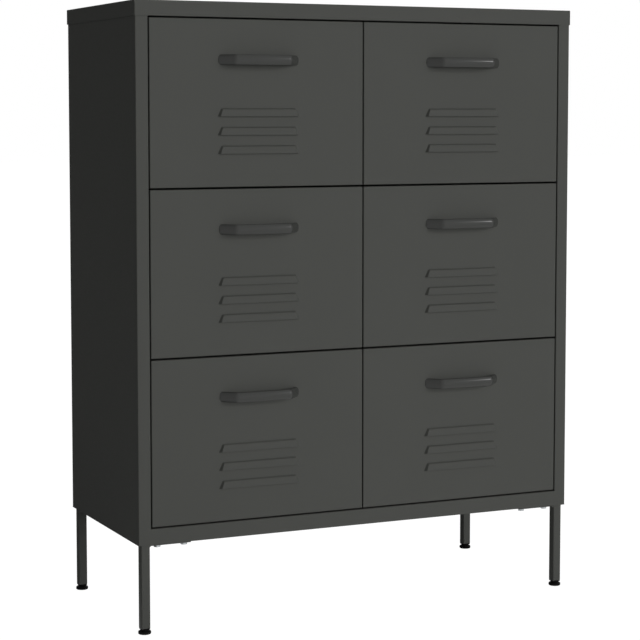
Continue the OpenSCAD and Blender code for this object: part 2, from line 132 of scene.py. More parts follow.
class Piece:
    """One object, shaped with Blender's own operators. Its sizes and places are in mm."""

    def __init__(self, name: str) -> None:
        """Takes up the active object and moves its size and place into its mesh.

        Args:
            name: The piece's name.
        """
        bpy.ops.object.transform_apply(location=True, rotation=True, scale=True)
        self.obj: Object = bpy.context.object
        self.obj.name = name
        self.obj.data.name = name

    @classmethod
    def block(cls, name: str, low: Vector, high: Vector) -> "Piece":
        """Adds a block between its lowest and its highest corner."""
        leave_edit()
        bpy.ops.mesh.primitive_cube_add(size=1, location=(low + high) / 2 * MM, scale=(high - low) * MM)
        return cls(name)

    @classmethod
    def rod(cls, name: str, foot: Vector, radius: float, length: float, sides: int = 32) -> "Piece":
        """Adds a rod that stands upright.

        Args:
            name: The piece's name.
            foot: The middle of its lower end.
            radius: Its radius.
            length: Its length.
            sides: Its number of sides.

        Returns:
            The piece.
        """
        leave_edit()
        bpy.ops.mesh.primitive_cylinder_add(
            vertices=sides, radius=radius * MM, depth=length * MM, location=(foot + Z * length / 2) * MM)
        return cls(name)

    @classmethod
    def panel(cls, name: str, low: Vector, high: Vector) -> "Piece":
        """Adds an upright sheet without thickness that faces the front.

        Args:
            name: The piece's name.
            low: Its lower left corner.
            high: Its upper right corner.

        Returns:
            The piece.
        """
        leave_edit()
        bpy.ops.mesh.primitive_plane_add(
            size=1, location=(low + high) / 2 * MM, rotation=(math.radians(90), 0, 0))
        bpy.context.object.scale = ((high.x - low.x) * MM, (high.z - low.z) * MM, 1)
        return cls(name)

    def select(self) -> None:
        """Leaves edit mode and makes this the only selected object."""
        leave_edit()
        self.obj.select_set(True)
        bpy.context.view_layer.objects.active = self.obj

    def edit(self) -> None:
        """Goes to this piece's edit mode."""
        if bpy.context.mode == "EDIT_MESH" and bpy.context.object == self.obj:
            return
        self.select()
        bpy.ops.object.mode_set(mode="EDIT")

    def pick(self, kind: Kind, test: Test) -> "Piece":
        """Selects vertices, edges or faces by where they are.

        Args:
            kind: What is selected.
            test: Takes the middle in mm, and a face's normal, an edge's direction or a vertex's normal.

        Returns:
            The piece.
        """
        self.edit()
        bpy.ops.mesh.select_mode(type=kind.value)
        bpy.ops.mesh.select_all(action="DESELECT")
        mesh = bmesh.from_edit_mesh(self.obj.data)
        mesh.normal_update()
        if kind is Kind.FACES:
            for face in mesh.faces:
                face.select_set(test(face.calc_center_median() / MM, face.normal))
        elif kind is Kind.EDGES:
            for edge in mesh.edges:
                start, end = (vert.co for vert in edge.verts)
                edge.select_set(test((start + end) / 2 / MM, (end - start).normalized()))
        else:
            for vert in mesh.verts:
                vert.select_set(test(vert.co / MM, vert.normal))
        mesh.select_flush_mode()
        bmesh.update_edit_mesh(self.obj.data)
        return self

    def pick_all(self) -> "Piece":
        """Selects the whole mesh."""
        self.edit()
        bpy.ops.mesh.select_mode(type="VERT")
        bpy.ops.mesh.select_all(action="SELECT")
        return self

    def extrude(self, move: Sequence[float]) -> "Piece":
        """Extrudes what is selected by a move in mm."""
        bpy.ops.mesh.extrude_region_move(TRANSFORM_OT_translate={"value": Vector(move) * MM})
        return self

    def move(self, move: Sequence[float]) -> "Piece":
        """Moves what is selected."""
        bpy.ops.transform.translate(value=Vector(move) * MM)
        return self

    def scale(self, factors: Sequence[float], centre: Vector) -> "Piece":
        """Scales what is selected about a centre in mm."""
        bpy.ops.transform.resize(value=factors, center_override=centre * MM)
        return self

    def turn(self, angle: float, axis: str, centre: Vector) -> "Piece":
        """Turns what is selected about a centre, by degrees that the operator counts the other way."""
        bpy.ops.transform.rotate(value=math.radians(-angle), orient_axis=axis, center_override=centre * MM)
        return self

    def inset(self, width: float) -> "Piece":
        """Insets the selected faces, each on its own."""
        bpy.ops.mesh.inset(thickness=width * MM, use_individual=True, use_even_offset=True)
        return self

    def bevel(self, radius: float, segments: int = 3) -> "Piece":
        """Rounds the selected edges."""
        bpy.ops.mesh.bevel(offset=radius * MM, segments=segments, affect="EDGES", clamp_overlap=True)
        return self

    def spin(self, angle: float, centre: Vector, axis: Vector, steps: int) -> "Piece":
        """Sweeps what is selected round an axis, by degrees that the operator counts the other way."""
        bpy.ops.mesh.spin(steps=steps, angle=math.radians(-angle), center=centre * MM, axis=axis)
        return self

    def cut(self, point: Vector, normal: Vector, clear: bool = False) -> "Piece":
        """Cuts the selected faces with a plane, and clears and closes the normal's side where asked."""
        bpy.ops.mesh.bisect(plane_co=point * MM, plane_no=normal, clear_outer=clear, use_fill=clear)
        return self

    def drop(self, test: Test) -> "Piece":
        """Takes away the faces that pass a test."""
        self.pick(Kind.FACES, test)
        bpy.ops.mesh.delete(type="FACE")
        return self

    def merge(self) -> "Piece":
        """Merges doubles and turns all faces outwards."""
        self.pick_all()
        bpy.ops.mesh.remove_doubles(threshold=DOUBLES)
        bpy.ops.mesh.normals_make_consistent(inside=False)
        return self

    def modify(self, kind: str, **settings: object) -> "Piece":
        """Adds a modifier and applies it.

        Args:
            kind: The modifier's type.
            settings: Its settings, in Blender's own units.

        Returns:
            The piece.
        """
        self.select()
        modifier = self.obj.modifiers.new(kind.title(), kind)
        for name, value in settings.items():
            setattr(modifier, name, value)
        bpy.ops.object.modifier_apply(modifier=modifier.name)
        return self

    def thicken(self, sheet: float, even: bool = True) -> "Piece":
        """Gives a shell its sheet's thickness inwards, kept at folds if even, as on flat panels."""
        return self.modify("SOLIDIFY", thickness=sheet * MM, offset=-1, use_even_offset=even)

    def join(self, others: Iterable["Piece"]) -> "Piece":
        """Joins other pieces into this one."""
        self.select()
        for other in others:
            other.obj.select_set(True)
        bpy.ops.object.join()
        return self

    def copy(self, name: str, shift: Sequence[float], signs: Sequence[int]) -> "Piece":
        """Copies the piece, with a mesh of its own.

        Args:
            name: The copy's name.
            shift: How far it is moved.
            signs: -1 for X or Y where it is first mirrored along it.

        Returns:
            The copy.
        """
        self.select()
        bpy.ops.object.duplicate()
        bpy.context.object.scale = (*signs, 1)
        bpy.context.object.location = Vector(shift) * MM
        made = Piece(name)
        if min(signs) < 0:
            made.merge()
        return made.smooth()

    def smooth(self, angle: float = 35) -> "Piece":
        """Shades the piece smooth, apart from edges sharper than the angle, and keeps flat faces flat."""
        self.select()
        bpy.ops.object.shade_smooth_by_angle(angle=math.radians(angle))
        return self.modify("WEIGHTED_NORMAL", keep_sharp=True, weight=80)

    def finish(self, paints: Paints, slot: Slot, body: str, node: str) -> None:
        """Dresses the piece and sets it on its body.

        Args:
            paints: The cabinet's materials.
            slot: The slot that it takes its finish from.
            body: The CAD body that it rides on.
            node: The CAD node that it stands for.
        """
        self.select()
        self.obj.data.materials.clear()
        self.obj.data.materials.append(paints[slot])
        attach(self.obj, body)
        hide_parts(node)
        leave_edit()
        log.info("%s: %d faces", self.obj.name, len(self.obj.data.polygons))

    def remove(self) -> None:
        """Takes a model away once it is copied or used."""
        bpy.data.objects.remove(self.obj)


def dress_node(node: str, coat: Material) -> None:
    """Gives a CAD node, kept as it is, its material."""
    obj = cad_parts[node]
    if not obj.material_slots:
        obj.data.materials.append(coat)
    for material_slot in obj.material_slots:
        material_slot.material = coat
    log.info("%s: the CAD node, dressed", node)


# ---- Materials ----


def linear(colour: str, light: float = 1.0) -> tuple[float, float, float, float]:
    """Turns an sRGB hex colour into a linear one.

    Args:
        colour: The colour, such as #4A4B48.
        light: A factor on the linear colour.

    Returns:
        Red, green, blue and alpha.
    """
    parts = [int(colour[i:i + 2], 16) / 255 for i in (1, 3, 5)]
    flat = [c / 12.92 if c <= 0.04045 else ((c + 0.055) / 1.055) ** 2.4 for c in parts]
    return (*(c * light for c in flat), 1.0)


def add_node(tree: NodeTree, kind: str, inputs: dict | None = None, **settings: object) -> NodeOutputs:
    """Adds a node with its settings and links.

    Args:
        tree: The node tree.
        kind: The node's type.
        inputs: By a socket's name or number, its value or the output that feeds it.
        settings: The node's own settings.

    Returns:
        Its outputs.
    """
    node = tree.nodes.new(kind)
    for name, value in settings.items():
        setattr(node, name, value)
    for name, value in (inputs or {}).items():
        if isinstance(value, NodeSocket):
            tree.links.new(value, node.inputs[name])
        else:
            node.inputs[name].default_value = value
    return node.outputs


def new_material(name: str) -> Material:
    """Makes a material with an empty node tree."""
    material = bpy.data.materials.new(name)
    material.use_nodes = True
    material.node_tree.nodes.clear()
    return material


@dataclass(frozen=True)
class Grain:
    """A surface's small unevenness. Sizes are in mm.

    Attributes:
        size: The size of one grain or wave.
        stretch: How many times longer it is along Y.
        depth: How deep its relief is.
    """

    size: float
    stretch: float = 1.0
    depth: float = 0.0

    def field(self, tree: NodeTree, detail: float = 2.0) -> NodeSocket:
        """Adds the pattern to a tree.

        Args:
            tree: The node tree.
            detail: How many finer layers it has.

        Returns:
            Its value, from 0 to 1.
        """
        place = add_node(tree, "ShaderNodeTexCoord")["Object"]
        turned = add_node(tree, "ShaderNodeMapping", {"Vector": place, "Scale": (1, 1 / self.stretch, 1)})
        return add_node(tree, "ShaderNodeTexNoise", {
            "Vector": turned[0], "Scale": 1 / (self.size * MM), "Detail": detail, "Roughness": 0.55})["Fac"]


@dataclass(frozen=True)
class Finish:
    """A finish whose colour, gloss and relief vary a little over the surface.

    Attributes:
        name: The material's name.
        colour: Its sRGB colour.
        roughness: Its mean roughness.
        metallic: 1 for bare or plated metal.
        specular: The specular level of a coat or plastic.
        clouds: Slow changes of colour, such as the coat's thickness.
        speckle: Fine changes of colour and gloss.
        relief: The bumps of the surface.
        spread: How much the colour varies, as a share.
        gloss_spread: How much the roughness varies.
    """

    name: str
    colour: str
    roughness: float
    metallic: float = 0.0
    specular: float = 0.5
    clouds: Grain = Grain(80)
    speckle: Grain = Grain(1.5)
    relief: Grain = Grain(1.2, depth=0.02)
    spread: float = 0.04
    gloss_spread: float = 0.06

    def make(self) -> Material:
        """Makes the material."""
        material = new_material(self.name)
        tree = material.node_tree
        cloud, fine = self.clouds.field(tree), self.speckle.field(tree)
        mixed = add_node(tree, "ShaderNodeMath", {0: cloud, 1: fine}, operation="ADD")[0]
        share = add_node(tree, "ShaderNodeMath", {0: mixed, 1: 0.5}, operation="MULTIPLY")[0]
        tint = add_node(tree, "ShaderNodeMix", {
            "Factor": share, "A": linear(self.colour, 1 - 2 * self.spread),
            "B": linear(self.colour, 1 + 2 * self.spread)}, data_type="RGBA")["Result"]
        gloss = add_node(tree, "ShaderNodeMapRange", {
            "Value": fine, "From Min": 0.3, "From Max": 0.7, "To Min": self.roughness - self.gloss_spread,
            "To Max": self.roughness + self.gloss_spread})["Result"]
        bump = add_node(tree, "ShaderNodeBump", {
            "Height": self.relief.field(tree), "Distance": self.relief.depth * MM, "Strength": 1.0})[0]
        shader = add_node(tree, "ShaderNodeBsdfPrincipled", {
            "Base Color": tint, "Roughness": gloss, "Metallic": self.metallic,
            "Specular IOR Level": self.specular, "Normal": bump})[0]
        add_node(tree, "ShaderNodeOutputMaterial", {"Surface": shader})
        return material


FINISHES = {
    # Polyester powder, sprayed on and baked: a dense matt anthracite with a fine orange peel. The pigment's
    # grain is really 0.1 mm and is drawn at 2 mm, so that it shows.
    Slot.BODY: Finish("anthracite_polyester_powder_coat", "#494A47", 0.6, specular=0.12, clouds=Grain(120),
                      speckle=Grain(2.0), relief=Grain(1.4, depth=0.02), spread=0.03),
    # The same powder inside the drawers, a little thinner and duller where the spray reached less.
    Slot.BOX: Finish("anthracite_powder_coat_inside_drawers", "#494A47", 0.66, specular=0.12,
                     clouds=Grain(60), speckle=Grain(2.0), relief=Grain(1.2, depth=0.03), spread=0.05),
    # Die-cast zinc under a satin lacquer: smoother and glossier than the powder coat, with long soft waves.
    Slot.HANDLE: Finish("satin_anthracite_lacquer_on_zinc", "#353634", 0.21, specular=0.3, clouds=Grain(40),
                        speckle=Grain(0.8), relief=Grain(2.5, depth=0.01), spread=0.03, gloss_spread=0.04),
    # Cold-rolled strip, roll-formed and zinc plated: bright, with fine drawing lines along the runner.
    Slot.RUNNER: Finish("zinc_plated_rolled_strip", "#B9BCBE", 0.32, metallic=1.0, clouds=Grain(25, 3),
                        speckle=Grain(0.4, 30), relief=Grain(0.35, 40, depth=0.004), spread=0.07,
                        gloss_spread=0.1),
    # Cold-headed steel, barrel zinc plated: a little duller and cloudier than the strip.
    Slot.FASTENER: Finish("zinc_plated_cold_headed_steel", "#A9ACAE", 0.38, metallic=1.0, clouds=Grain(6),
                          speckle=Grain(0.5), relief=Grain(0.4, depth=0.006), spread=0.09,
                          gloss_spread=0.1),
    # Moulded polypropylene with a spark-eroded texture: deep black and dull.
    Slot.PLASTIC: Finish("moulded_black_polypropylene", "#060605", 0.6, specular=0.08, clouds=Grain(15),
                         speckle=Grain(0.4), relief=Grain(0.3, depth=0.015), spread=0.15),
}


# ---- Carcass ----


@dataclass
class Carcass:
    """The folded sheet panels of the body. Sizes are in mm.

    Attributes:
        sheet: The sheet's thickness.
        bend: The outer radius of a fold.
        side_return: The depth of the stile's return into the body.
        side_flange: The width of a side panel's upper and lower flange.
        upper_notch: How far the upper flange stays from the stile and the back.
        lower_notch: The same for the lower flange.
        rail_return: The depth of the return behind the bottom rail and the lid's edge.
        stile: The width of the front stiles.
        gap: The gap between a rail or return and the stiles.
        lid_edge: The height of the lid's edge.
        overhang: How far the lid stands out over the body.
        stud_radius: The radius of a weld stud.
        stud_length: The length of a weld stud.
        stud_chamfer: The chamfer of its end.
    """

    sheet: float = 0.8
    bend: float = 1.3
    side_return: float = 50
    side_flange: float = 19
    upper_notch: float = 52
    lower_notch: float = 95
    rail_return: float = 14
    stile: float = 21.2
    gap: float = 1.0
    lid_edge: float = 25
    overhang: float = 1.3
    stud_radius: float = 2.4
    stud_length: float = 10
    stud_chamfer: float = 0.5

    def fold(self, piece: Piece, test: Test) -> Piece:
        """Rounds the folds that pass a test, then gives the sheet its thickness."""
        piece.pick(Kind.EDGES, test).bevel(self.bend, 4)
        return piece.thicken(self.sheet).smooth()

    def side(self) -> Piece:
        """Folds the left side panel: the skin, its stile and return, the rear flange and two flanges."""
        low, high = node_box("left_side_panel")
        flanges = ((high.z, self.upper_notch), (low.z, self.lower_notch))

        def at_flange(m: Vector, z: float, notch: float) -> bool:
            """Whether a point is on the skin's edge where a flange starts."""
            return near(m.x, low.x) and near(m.z, z) and low.y + notch < m.y < high.y - notch

        piece = Piece.block("side_left", low, high)
        piece.drop(lambda m, n: abs(n.z) > ALIGNED or n.x > ALIGNED)
        for y, depth in ((low.y, self.side_return), (high.y, -self.side_return)):
            piece.pick(Kind.EDGES, lambda m, d: near(m.x, high.x) and near(m.y, y)).extrude((0, depth, 0))
        for notch in (self.upper_notch, self.lower_notch):
            for y in (low.y + notch, high.y - notch):
                piece.pick(Kind.FACES, facing(-X)).cut(Y * y, Y)
        for z, notch in flanges:
            piece.pick(Kind.EDGES, lambda m, d: at_flange(m, z, notch)).extrude((self.side_flange, 0, 0))
        return self.fold(piece, lambda m, d: abs(d.z) > ALIGNED and near(m.y, low.y, high.y)
                         or abs(d.y) > ALIGNED and any(at_flange(m, *flange) for flange in flanges))

    def studs(self, points: Iterable[Vector]) -> list[Piece]:
        """Makes the weld studs that hang from points under the lid's sheet."""
        made = []
        for point in points:
            foot = point - Z * self.stud_length
            stud = Piece.rod("stud", foot, self.stud_radius, self.stud_length + self.sheet / 2, 20)
            made.append(stud.pick(Kind.EDGES, at_height(foot.z)).bevel(self.stud_chamfer, 1))
        return made

    def lid(self) -> Piece:
        """Folds the top panel: a tray with a return behind its front edge, and the weld studs."""
        low, high = node_box("top_panel")
        low.z = high.z - self.lid_edge
        reach = node_box("bottom_panel")[1].x - self.stile - self.gap
        piece = Piece.block("lid", low, high).drop(facing(-Z))
        for x in (-reach, reach):
            piece.pick(Kind.FACES, facing(-Y)).cut(X * x, X)

        def front_edge(m: Vector, d: Vector) -> bool:
            """Picks the lower edge of the front between the stiles."""
            return near(m.z, low.z) and near(m.y, low.y) and abs(m.x) < reach - 1

        piece.pick(Kind.EDGES, front_edge).extrude((0, self.rail_return + self.overhang, 0))
        self.fold(piece, lambda m, d: near(m.z, high.z) or abs(d.z) > ALIGNED and abs(m.x) > reach + 1
                  or front_edge(m, d))
        nuts = [nut.middle for nut in map(Solid, solids("carcass_fasteners")) if nut.form is Form.NUT]
        return piece.join(self.studs(Vector((p.x, p.y, high.z - self.sheet)) for p in nuts)).smooth()

    def floor(self) -> Piece:
        """Folds the bottom panel: the floor, the bottom rail with its return, and the rear flange."""
        low, high = node_box("bottom_panel")
        high.y -= self.sheet
        reach = high.x - self.stile + self.gap
        piece = Piece.block("floor_pan", low, high).drop(lambda m, n: n.z > ALIGNED or abs(n.x) > ALIGNED)
        for x in (-reach, reach):
            piece.pick_all().cut(X * x, X)
        piece.drop(lambda m, n: abs(n.y) > ALIGNED and abs(m.x) > reach)
        piece.pick(Kind.EDGES, lambda m, d: near(m.z, high.z) and near(m.y, low.y))
        piece.extrude((0, self.rail_return, 0))
        return self.fold(piece, lambda m, d: abs(m.x) < reach and abs(d.x) > ALIGNED
                         and (near(m.z, low.z) or near(m.z, high.z) and near(m.y, low.y)))

    def build(self, paints: Paints) -> None:
        """Models the panels, dresses them and the two plain ones, and sets them on the cabinet."""
        left = self.side()
        right = left.copy("side_right", ORIGIN, COLUMNS["right"])
        for piece, node in ((left, "left_side_panel"), (right, "right_side_panel"),
                            (self.lid(), "top_panel"), (self.floor(), "bottom_panel")):
            piece.finish(paints, Slot.BODY, "cabinet", node)
        for node in ("back_panel", "centre_partition"):
            dress_node(node, paints[Slot.BODY])


# ---- Fasteners ----


class Form(Enum):
    """What a fastener's CAD solid is."""

    SCREW = "screw"
    RIVET = "rivet"
    BOLT = "bolt"
    NUT = "nut"


def solids(node: str) -> list[np.ndarray]:
    """The points of each separate solid of a CAD node, in mm."""
    mesh = bmesh.new()
    mesh.from_mesh(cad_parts[node].data)
    bmesh.ops.remove_doubles(mesh, verts=mesh.verts, dist=DOUBLES)
    found, seen = [], set()
    for start in mesh.verts:
        if start in seen:
            continue
        seen.add(start)
        group = [start]
        for vert in group:
            linked = {edge.other_vert(vert) for edge in vert.link_edges} - seen
            seen |= linked
            group.extend(sorted(linked, key=lambda v: v.index))
        found.append(np.array([vert.co / MM for vert in group]))
    mesh.free()
    return found


class Solid:
    """What a fastener's CAD solid says of it: its place, axis, head and sizes, in mm."""

    def __init__(self, points: np.ndarray) -> None:
        """Measures the solid.

        Args:
            points: Its points.
        """
        low, high = points.min(0), points.max(0)
        size = high - low
        self.middle = Vector((low + high) / 2)
        spreads = [self.radii(points, axis) for axis in range(3)]
        self.axis = min(range(3), key=lambda axis: len(set(np.round(spreads[axis], 1))))
        radii, along = spreads[self.axis], points[:, self.axis]
        # Where it is widest: both sides of its head, and of a rivet's other head.
        levels = sorted(set(np.round(along[radii > 0.97 * radii.max()], 2)))
        self.length = float(size[self.axis])
        self.outer, self.inner = float(radii.max()), float(radii.min())
        self.head = float(levels[1] - levels[0])
        self.side = 1 if near(levels[-1], high[self.axis]) else -1
        first, second = size[self.axis - 2], size[self.axis - 1]
        # A hexagon is wider across its corners than across its flats.
        hexagonal = min(first, second) < 0.95 * max(first, second)
        self.turned = hexagonal and first < second
        if hexagonal:
            self.form = Form.NUT if near(self.head, self.length) else Form.BOLT
        else:
            self.form = Form.RIVET if len(levels) == 4 else Form.SCREW

    def radii(self, points: np.ndarray, axis: int) -> np.ndarray:
        """The points' distances from the middle line along an axis."""
        return np.hypot(*np.delete(points - np.array(self.middle), axis, 1).T)

    def key(self) -> tuple:
        """What makes two fasteners the same."""
        return self.form, *(round(v, 1) for v in (self.outer, self.inner, self.head, self.length))

    def place(self) -> Matrix:
        """The matrix, in metres, from a fastener that stands on +Z to this one."""
        towards, across = (X, Y, Z)[self.axis] * self.side, (X, Y, Z)[self.axis - 2]
        turn = Matrix((across, towards.cross(across), towards)).transposed().to_4x4()
        if self.turned:
            turn = turn @ Matrix.Rotation(math.radians(90), 4, "Z")
        return Matrix.Translation(self.middle * MM) @ turn


@dataclass
class FastenerMaker:
    """Models each kind of fastener once and copies it to its places. Sizes are in mm.

    Attributes:
        crown: The widest that a head's round edge gets.
        recess: The width of a cross recess.
        recess_depth: Its depth.
        recess_reach: How far its arms reach, as a share of the head's radius.
        recess_taper: The size of its floor, as a share of its mouth.
        land: The least width of flat crown round it.
        clench: The round edge of a rivet's far end.
        chamfer: The chamfer of a hexagon's corners.
        overlap: How far a nut's bore is cut past its ends. A bolt's shank goes half as far into its head.
        made: The fasteners modelled so far.
    """

    crown: float = 1.0
    recess: float = 1.1
    recess_depth: float = 0.9
    recess_reach: float = 0.55
    recess_taper: float = 0.8
    land: float = 0.3
    clench: float = 0.3
    chamfer: float = 0.7
    overlap: float = 1.0
    made: dict[tuple, Piece] = field(default_factory=dict)

    def screw(self, solid: Solid) -> Piece:
        """Models a pan-head screw or a rivet, with its middle at the origin and its head up."""
        half, low = solid.length / 2, solid.length / 2 - solid.head
        piece = Piece.rod("fastener", Z * low, solid.outer, solid.head)
        piece.pick(Kind.EDGES, at_height(half)).bevel(min(0.45 * solid.head, self.crown), 4)
        if solid.form is Form.SCREW:
            self.cross(piece, half, solid.outer)
        piece.pick(Kind.FACES, lambda m, n: n.z < -ALIGNED and near(m.z, low))
        piece.inset(solid.outer - solid.inner).extrude((0, 0, solid.head - solid.length))
        if solid.form is Form.RIVET:
            piece.scale((solid.outer / solid.inner,) * 2 + (1,), ORIGIN)
            piece.pick(Kind.FACES, lambda m, n: n.z < -ALIGNED and near(m.z, -half)).bevel(self.clench)
        return piece

    def cross(self, piece: Piece, top: float, radius: float) -> None:
        """Sinks a cross recess into a screw's head.

        Args:
            piece: The screw.
            top: The height of its head.
            radius: The head's radius.
        """
        reach = self.recess_reach * radius

        def crown(m: Vector, n: Vector) -> bool:
            """Picks what the recess is cut from."""
            return level_at(top)(m, n) and m.xy.length < reach

        piece.pick(Kind.FACES, level_at(top)).inset(max(self.land, radius - self.crown - reach))
        for axis in (X, Y):
            for side in (-1, 1):
                piece.pick(Kind.FACES, crown).cut(axis * side * self.recess / 2 + Z * top, axis)
        piece.pick(Kind.FACES, lambda m, n: crown(m, n) and min(abs(m.x), abs(m.y)) < self.recess / 2)
        piece.extrude(-Z * self.recess_depth).scale((self.recess_taper,) * 2 + (1,), Z * top)

    def hexagon(self, solid: Solid) -> Piece:
        """Models a hexagon bolt or a nut, with its middle at the origin and its head up."""
        half, low = solid.length / 2, solid.length / 2 - solid.head
        piece = Piece.rod("fastener", Z * low, solid.outer, solid.head, 6)
        piece.select()
        piece.obj.rotation_euler.z = math.radians(30)
        bpy.ops.object.transform_apply(rotation=True)
        ends = (half,) if solid.form is Form.BOLT else (half, low)
        piece.pick(Kind.VERTS, lambda m, n: near(m.z, *ends))
        bpy.ops.mesh.bevel(offset=self.chamfer * MM, segments=1, affect="VERTICES")
        if solid.form is Form.BOLT:
            length = solid.length - solid.head + self.overlap / 2
            return piece.join([Piece.rod("shank", -Z * half, solid.inner, length, 24)])
        hole = Piece.rod("hole", Z * (low - self.overlap), solid.inner, solid.head + 2 * self.overlap, 24)
        piece.modify("BOOLEAN", operation="DIFFERENCE", object=hole.obj, solver="EXACT")
        hole.remove()
        return piece

    def build(self, node: str, name: str, body: str, paints: Paints) -> None:
        """Makes all the fasteners of a CAD node as one piece.

        Args:
            node: The CAD node.
            name: The piece's name.
            body: The body that it rides on.
            paints: The cabinet's materials.
        """
        copies = []
        for solid in map(Solid, solids(node)):
            if solid.key() not in self.made:
                hexagonal = solid.form in (Form.BOLT, Form.NUT)
                self.made[solid.key()] = self.hexagon(solid) if hexagonal else self.screw(solid)
            self.made[solid.key()].select()
            bpy.ops.object.duplicate()
            bpy.context.object.matrix_world = solid.place()
            copies.append(Piece(name))
        made = copies[0].join(copies[1:]).smooth(30)
        made.obj.name = name
        made.finish(paints, Slot.FASTENER, body, node)

    def clear(self) -> None:
        """Removes the models that were copied."""
        for piece in self.made.values():
            piece.remove()


# ---- Legs and feet ----


@dataclass
class Legs:
    """The four legs and their feet. Sizes are in mm.

    Attributes:
        tube: The side of the square tube.
        wall: Its wall.
        corner: The radius of its corners.
        plate: The thickness of the plate welded to its top.
        plate_end: The width of the plate's arms.
        plate_corner: The radius of its corners.
        weld: The size of the weld's fillet.
        hub: The radius of a foot's hub.
        disc: The height of a foot's disc.
        rim: The radius of its rim.
        cone: The height of the cone above it.
        hub_h: The height of its hub.
        hub_edge: The radius of the hub's edge.
        thread: The radius of its threaded stud.
        thread_end: The chamfer of its end.
    """

    tube: float = 15
    wall: float = 1.2
    corner: float = 1.5
    plate: float = 2
    plate_end: float = 8
    plate_corner: float = 1.0
    weld: float = 2.2
    hub: float = 7.4
    disc: float = 5.2
    rim: float = 1.6
    cone: float = 0.8
    hub_h: float = 1.6
    hub_edge: float = 0.4
    thread: float = 2.95
    thread_end: float = 0.5

    def leg(self) -> Piece:
        """Makes the front left leg: the tube, its corner plate and the weld between them."""
        low, high = node_box("leg_front_left")
        top = high.z - self.plate
        inner = Vector((low.x + self.tube, low.y + self.tube, top))
        tube = Piece.block("leg", low, inner).drop(along(Z))
        tube.pick(Kind.EDGES, along(Z)).bevel(self.corner, 4).thicken(self.wall)
        plate = Piece.block("plate", Vector((low.x, low.y, top)), high)
        arm = Vector((high.x, low.y + self.tube / 2 + self.plate_end, 0))
        plate.pick_all().cut(arm, Vector((1, 1, 0)).normalized(), clear=True)
        plate.pick(Kind.EDGES, along(Z)).bevel(self.plate_corner)
        around = Vector((self.weld, self.weld, 0))
        weld = Piece.block("weld", Vector((low.x, low.y, top - self.weld)) - around, inner + around)
        weld.pick(Kind.FACES, facing(-Z))
        weld.scale((self.tube / (self.tube + 2 * self.weld),) * 2 + (1,), (low + inner) / 2)
        weld.pick(Kind.EDGES, lambda m, d: abs(d.z) > 0.5).bevel(self.corner)
        for axis, edge in ((X, low.x), (Y, low.y)):
            weld.pick_all().cut(axis * (edge + self.wall / 2), -axis, clear=True)
        return tube.join([plate, weld]).smooth()

    def foot(self) -> Piece:
        """Turns the front left foot: a disc with a cone, a hub and a threaded stud."""
        low, high = node_box("foot_front_left")
        radius = (high.x - low.x) / 2
        centre = (low + high) / 2
        base = Vector((centre.x, centre.y, low.z))
        piece = Piece.rod("foot", base, radius, self.disc, 48)
        piece.pick(Kind.EDGES, lambda m, d: abs(d.z) < 0.1).bevel(self.rim, 5)
        piece.pick(Kind.FACES, level_at(base.z + self.disc)).extrude(Z * self.cone)
        piece.scale((self.hub / (radius - self.rim),) * 2 + (1,), base).extrude(Z * self.hub_h)
        top = base.z + self.disc + self.cone + self.hub_h
        piece.pick(Kind.EDGES, at_height(top)).bevel(self.hub_edge, 2)
        piece.pick(Kind.FACES, level_at(top))
        piece.inset(self.hub - self.hub_edge - self.thread).extrude((0, 0, high.z - top))
        return piece.pick(Kind.EDGES, at_height(high.z)).bevel(self.thread_end, 1).smooth()

    def build(self, paints: Paints) -> None:
        """Models one leg and one foot, and copies them to the four corners."""
        parts = (("leg", "post", self.leg(), Slot.BODY),
                 ("foot", "levelling_foot", self.foot(), Slot.PLASTIC))
        for corner, signs in CORNERS.items():
            for node, name, model, slot in parts:
                (low, high), (at, _) = node_box(f"{node}_front_left"), node_box(f"{node}_{corner}")
                shift = [at[i] - (low[i] if signs[i] > 0 else -high[i]) for i in range(2)]
                body = "cabinet" if node == "leg" else f"foot_{corner}"
                made = model.copy(f"{name}_{corner}", (*shift, 0), signs)
                made.finish(paints, slot, body, f"{node}_{corner}")
        for _, _, model, _ in parts:
            model.remove()
        dress_node("leg_plugs", paints[Slot.PLASTIC])


# ---- Drawers ----


@dataclass
class Louvre:
    """A louvre's sizes, in mm.

    Attributes:
        drop: Its upper edge below the top of the front.
        pitch: The distance to the next one.
        width: Its width at the lip.
        top_width: Its width at the upper edge.
        height: Its height.
        proud: How far the lip stands out.
        corner: The radius of its upper corners.
        slope: The width of the slope that rises from the sheet.
        rise: How far that slope comes out.
        edge: The radius of its pressed edges.
        end: How far its open part, and the slot behind it, stay from each end of the lip.
        slot_drop: How far the slot stays below its upper edge.
    """

    drop: float = 142
    pitch: float = 30
    width: float = 143
    top_width: float = 133
    height: float = 13.5
    proud: float = 4.5
    corner: float = 4
    slope: float = 2.4
    rise: float = 2.8
    edge: float = 0.7
    end: float = 12
    slot_drop: float = 3

    def tangents(self) -> list[tuple[Vector, Vector]]:
        """The planes that cut a louvre's right end to its outline.

        Returns:
            A point, from the middle of the lip, and a normal for each: the slanted end, then the corner.
        """
        centre = Vector((self.top_width / 2 - self.corner, 0, self.height - self.corner))
        reach = Vector((self.width / 2 - centre.x, centre.z))
        slant = math.acos(self.corner / reach.length) - math.atan2(reach.y, reach.x)
        angles = [slant + share * (math.pi / 2 - slant) for share in (0, 1 / 3, 2 / 3)]
        normals = [Vector((math.cos(angle), 0, math.sin(angle))) for angle in angles]
        return [(centre + normal * self.corner, normal) for normal in normals]


